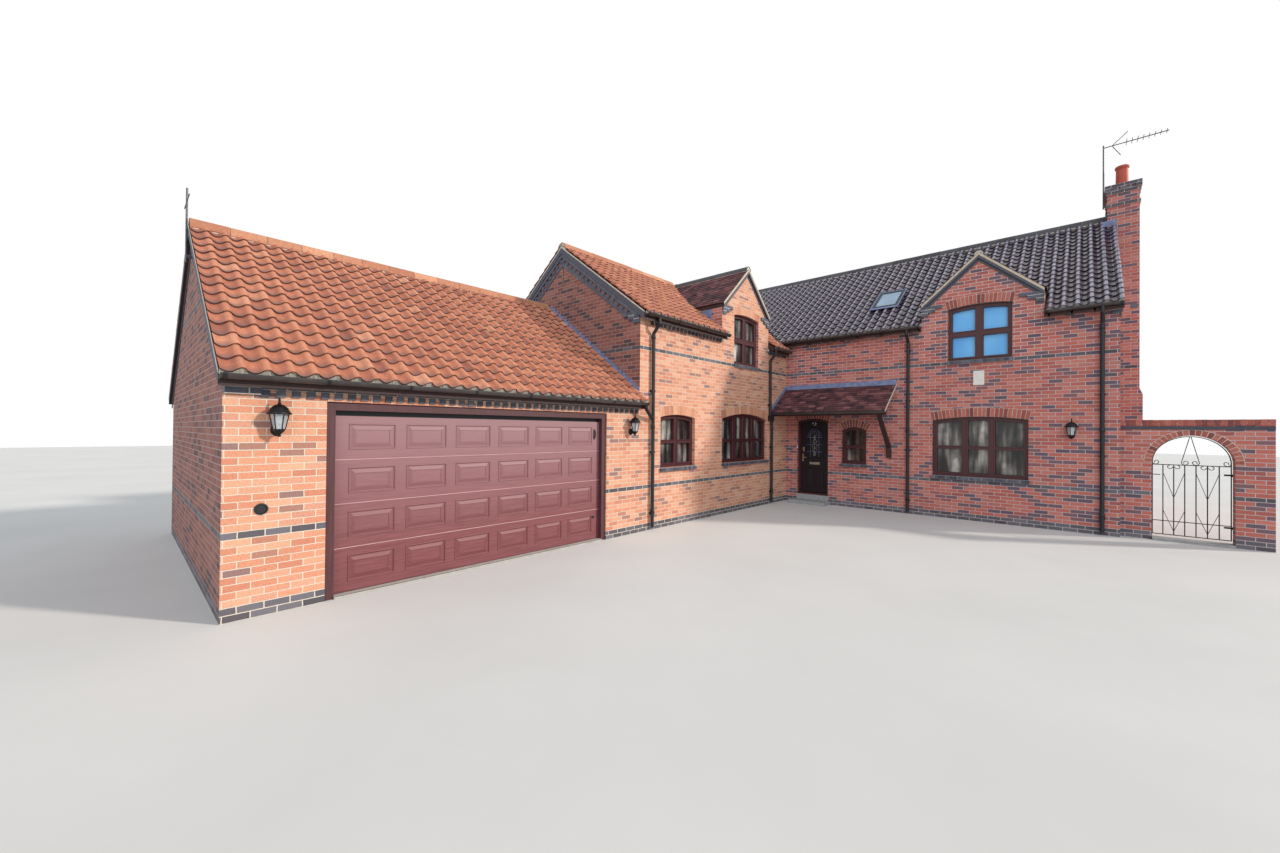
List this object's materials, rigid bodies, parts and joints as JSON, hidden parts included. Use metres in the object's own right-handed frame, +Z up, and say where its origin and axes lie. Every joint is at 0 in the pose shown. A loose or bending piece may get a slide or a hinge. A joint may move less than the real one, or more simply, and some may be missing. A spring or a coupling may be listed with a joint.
{
  "type": "detached house",
  "caption": "Brick house with a garage wing, tiled pitched roofs with wall dormers, a lean-to porch, an outside chimney, a hinged front door and a garden wall with a hinged gate.",
  "frame": {"origin": "on the ground at the inner corner where the faces of the two front walls meet", "axes": "+X runs right along the main front wall, +Y to the back, +Z up"},
  "size_m": [14.912, 20.024, 9.2759],
  "materials": {
    "brick": "rough",
    "orange_tile": "rough",
    "dark_tile": "satin",
    "plain_tile": "rough",
    "ridge_tile": "rough",
    "concrete": "rough",
    "floor_timber": "matt",
    "blue_brick": "satin",
    "dark_wood": "satin",
    "glass": "gloss",
    "black_plastic": "gloss",
    "lead": "matt",
    "black_iron": "satin",
    "aerial_metal": "matt",
    "red_clay": "rough",
    "door_paint": "gloss",
    "door_metal": "polished",
    "garage_red": "satin",
    "step_stone": "rough"
  },
  "bodies": {
    "house": {"garage_gable_wall": "brick", "garage_piers": "brick", "door_head_walls": "brick", "rear_side_walls": "brick", "wing_gable_wall": "brick", "wing_front_wall": "brick", "main_front_pier": "brick", "main_front_wall": "brick", "main_right_gable": "brick", "main_left_gable": "brick", "main_rear_wall": "brick", "dormer_walls": "brick", "dormer_cheeks": "brick", "garage_roof": "orange_tile", "wing_roof": "orange_tile", "main_roof": "dark_tile", "dormer_roofs": "plain_tile", "ridge_tiles": "ridge_tile", "ground_floors": "concrete", "upper_floors": "floor_timber", "dentil_courses": "blue_brick", "kneelers": "blue_brick", "window_sills": "blue_brick", "window_frames": "dark_wood", "window_glass": "glass", "gutters": "black_plastic", "downpipes": "black_plastic", "roof_flashings": "lead", "wall_lanterns": "black_iron", "rooflight": "black_iron", "television_aerials": "aerial_metal", "chimney_breast": "brick", "chimney_stack": "brick", "chimney_pot": "red_clay", "porch_roof": "plain_tile", "porch_frame": "dark_wood", "door_frame": "dark_wood", "garage_door_frame": "dark_wood", "garage_door": "garage_red", "doorsteps": "step_stone", "garden_wall": "brick", "gate_hooks": "black_iron"},
    "front_door": {"front_door": "door_paint", "door_furniture": "door_metal"},
    "garden_gate": {"garden_gate": "black_iron"}
  },
  "joints": [
    {"name": "front_door_hinge", "type": "hinge", "parent": "house", "child": "front_door", "pos_m": [1.1505, 0.205, 1.2], "axis": [0, 0, -1], "range_deg": [0, 90]},
    {"name": "garden_gate_hinge", "type": "hinge", "parent": "house", "child": "garden_gate", "pos_m": [8.218, 0.425, 1], "axis": [0, 0, -1], "range_deg": [0, 90]}
  ]
}
